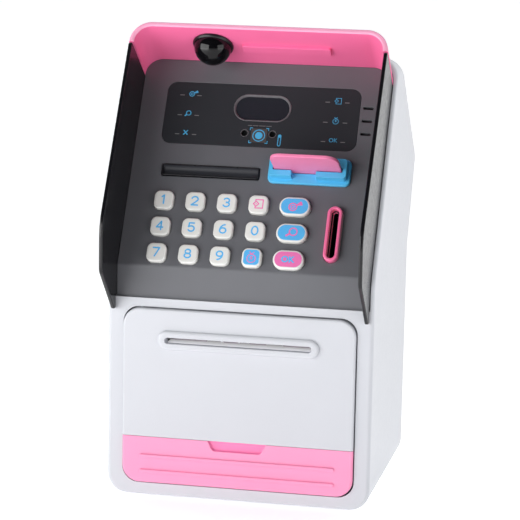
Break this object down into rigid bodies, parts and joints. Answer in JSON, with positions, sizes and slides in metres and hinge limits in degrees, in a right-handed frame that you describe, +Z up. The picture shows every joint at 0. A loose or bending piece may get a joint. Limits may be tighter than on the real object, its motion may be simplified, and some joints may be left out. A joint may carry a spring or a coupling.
{
  "type": "toy cash machine savings bank",
  "caption": "Toy cash machine savings bank: hooded sloping keypad panel with coin slot, card reader and display, and a lockable front door with a motorised note slot.",
  "frame": {"origin": "centre of the overall bounding box in plan, at the underside of the feet", "axes": "+Z up, -Y towards the front with the keypad and door, +X to the right seen from the front"},
  "size_m": [0.14, 0.1618, 0.2468],
  "materials": {
    "white_plastic": "satin",
    "inner_grey_plastic": "matte",
    "grey_panel_plastic": "satin",
    "pink_plastic": "satin",
    "pale_pink_plastic": "satin",
    "blue_plastic": "satin",
    "black_gloss_plastic": "gloss",
    "black_plastic": "satin",
    "dark_lens_plastic": "gloss",
    "key_plastic": "satin",
    "soft_rubber": "matte",
    "board_plastic": "satin",
    "steel": "satin",
    "nylon": "satin"
  },
  "bodies": {
    "casing": {"main_shell": "white_plastic", "rear_cover": "white_plastic", "base_cover": "white_plastic", "partition": "inner_grey_plastic", "control_panel": "grey_panel_plastic", "visor_hood": "pink_plastic", "left_wing": "black_gloss_plastic", "right_wing": "black_gloss_plastic", "display_lens": "dark_lens_plastic", "window_bezel": "inner_grey_plastic", "screen_module": "black_plastic", "left_sensor": "black_plastic", "right_sensor": "black_plastic", "camera_collar": "black_plastic", "camera_dome": "black_gloss_plastic", "receipt_slot_bezel": "black_gloss_plastic", "card_reader": "blue_plastic", "coin_slot_bezel": "pink_plastic", "coin_chute": "inner_grey_plastic", "key_mat": "soft_rubber", "circuit_board": "board_plastic", "speaker": "steel", "upper_hinge_pin": "steel", "lower_hinge_pin": "steel", "lock_actuator": "inner_grey_plastic", "battery_box": "inner_grey_plastic", "front_left_foot": "soft_rubber", "front_right_foot": "soft_rubber", "rear_left_foot": "soft_rubber", "rear_right_foot": "soft_rubber", "lower_left_screw": "steel", "lower_right_screw": "steel", "upper_left_screw": "steel", "upper_right_screw": "steel"},
    "door": {"door": "white_plastic", "door_trim": "pale_pink_plastic", "feeder_frame": "white_plastic", "feed_motor": "steel"},
    "feed_roller": {"feed_roller": "soft_rubber", "roller_gear": "nylon"},
    "pinch_roller": {"pinch_roller": "soft_rubber"},
    "motor_pinion": {"motor_pinion": "nylon"},
    "bank_card": {"bank_card": "pink_plastic"},
    "lock_bolt": {"lock_bolt": "steel"},
    "battery_cover": {"battery_cover": "white_plastic"},
    "key_1": {"key_1": "key_plastic"},
    "key_2": {"key_2": "key_plastic"},
    "key_3": {"key_3": "key_plastic"},
    "key_exit": {"key_exit": "key_plastic"},
    "key_account": {"key_account": "key_plastic"},
    "key_4": {"key_4": "key_plastic"},
    "key_5": {"key_5": "key_plastic"},
    "key_6": {"key_6": "key_plastic"},
    "key_0": {"key_0": "key_plastic"},
    "key_search": {"key_search": "key_plastic"},
    "key_7": {"key_7": "key_plastic"},
    "key_8": {"key_8": "key_plastic"},
    "key_9": {"key_9": "key_plastic"},
    "key_money": {"key_money": "key_plastic"},
    "key_ok": {"key_ok": "key_plastic"}
  },
  "joints": [
    {"name": "key_1_press", "type": "slide", "parent": "casing", "child": "key_1", "axis": [0, 0.866, -0.5], "range_m": [0, 0.0012], "stiffness_N_per_m": 300},
    {"name": "key_2_press", "type": "slide", "parent": "casing", "child": "key_2", "axis": [0, 0.866, -0.5], "range_m": [0, 0.0012], "stiffness_N_per_m": 300},
    {"name": "key_3_press", "type": "slide", "parent": "casing", "child": "key_3", "axis": [0, 0.866, -0.5], "range_m": [0, 0.0012], "stiffness_N_per_m": 300},
    {"name": "key_exit_press", "type": "slide", "parent": "casing", "child": "key_exit", "axis": [0, 0.866, -0.5], "range_m": [0, 0.0012], "stiffness_N_per_m": 300},
    {"name": "key_account_press", "type": "slide", "parent": "casing", "child": "key_account", "axis": [0, 0.866, -0.5], "range_m": [0, 0.0012], "stiffness_N_per_m": 300},
    {"name": "key_4_press", "type": "slide", "parent": "casing", "child": "key_4", "axis": [0, 0.866, -0.5], "range_m": [0, 0.0012], "stiffness_N_per_m": 300},
    {"name": "key_5_press", "type": "slide", "parent": "casing", "child": "key_5", "axis": [0, 0.866, -0.5], "range_m": [0, 0.0012], "stiffness_N_per_m": 300},
    {"name": "key_6_press", "type": "slide", "parent": "casing", "child": "key_6", "axis": [0, 0.866, -0.5], "range_m": [0, 0.0012], "stiffness_N_per_m": 300},
    {"name": "key_0_press", "type": "slide", "parent": "casing", "child": "key_0", "axis": [0, 0.866, -0.5], "range_m": [0, 0.0012], "stiffness_N_per_m": 300},
    {"name": "key_search_press", "type": "slide", "parent": "casing", "child": "key_search", "axis": [0, 0.866, -0.5], "range_m": [0, 0.0012], "stiffness_N_per_m": 300},
    {"name": "key_7_press", "type": "slide", "parent": "casing", "child": "key_7", "axis": [0, 0.866, -0.5], "range_m": [0, 0.0012], "stiffness_N_per_m": 300},
    {"name": "key_8_press", "type": "slide", "parent": "casing", "child": "key_8", "axis": [0, 0.866, -0.5], "range_m": [0, 0.0012], "stiffness_N_per_m": 300},
    {"name": "key_9_press", "type": "slide", "parent": "casing", "child": "key_9", "axis": [0, 0.866, -0.5], "range_m": [0, 0.0012], "stiffness_N_per_m": 300},
    {"name": "key_money_press", "type": "slide", "parent": "casing", "child": "key_money", "axis": [0, 0.866, -0.5], "range_m": [0, 0.0012], "stiffness_N_per_m": 300},
    {"name": "key_ok_press", "type": "slide", "parent": "casing", "child": "key_ok", "axis": [0, 0.866, -0.5], "range_m": [0, 0.0012], "stiffness_N_per_m": 300},
    {"name": "door_hinge", "type": "hinge", "parent": "casing", "child": "door", "pos_m": [-0.052, -0.05166, 0.055], "axis": [0, 0, -1], "range_deg": [0, 100]},
    {"name": "feed_roller_spin", "type": "hinge", "parent": "door", "child": "feed_roller", "pos_m": [0, -0.04166, 0.09005], "axis": [1, 0, 0], "continuous": true},
    {"name": "pinch_roller_spin", "type": "hinge", "parent": "door", "child": "pinch_roller", "pos_m": [0, -0.04166, 0.08175], "axis": [1, 0, 0], "continuous": true},
    {"name": "motor_pinion_spin", "type": "hinge", "parent": "door", "child": "motor_pinion", "pos_m": [0, -0.02979, 0.09485], "axis": [1, 0, 0], "continuous": true},
    {"name": "bank_card_slide", "type": "slide", "parent": "casing", "child": "bank_card", "axis": [0, -0.866, 0.5], "range_m": [0, 0.02]},
    {"name": "lock_bolt_slide", "type": "slide", "parent": "casing", "child": "lock_bolt", "axis": [-1, 0, 0], "range_m": [0, 0.004]},
    {"name": "battery_cover_slide", "type": "slide", "parent": "casing", "child": "battery_cover", "axis": [0, 1, 0], "range_m": [0, 0.02]}
  ],
  "couplings": [
    {"joint": "pinch_roller_spin", "follows": "feed_roller_spin", "ratio": -1},
    {"joint": "motor_pinion_spin", "follows": "feed_roller_spin", "ratio": -1.6667}
  ]
}
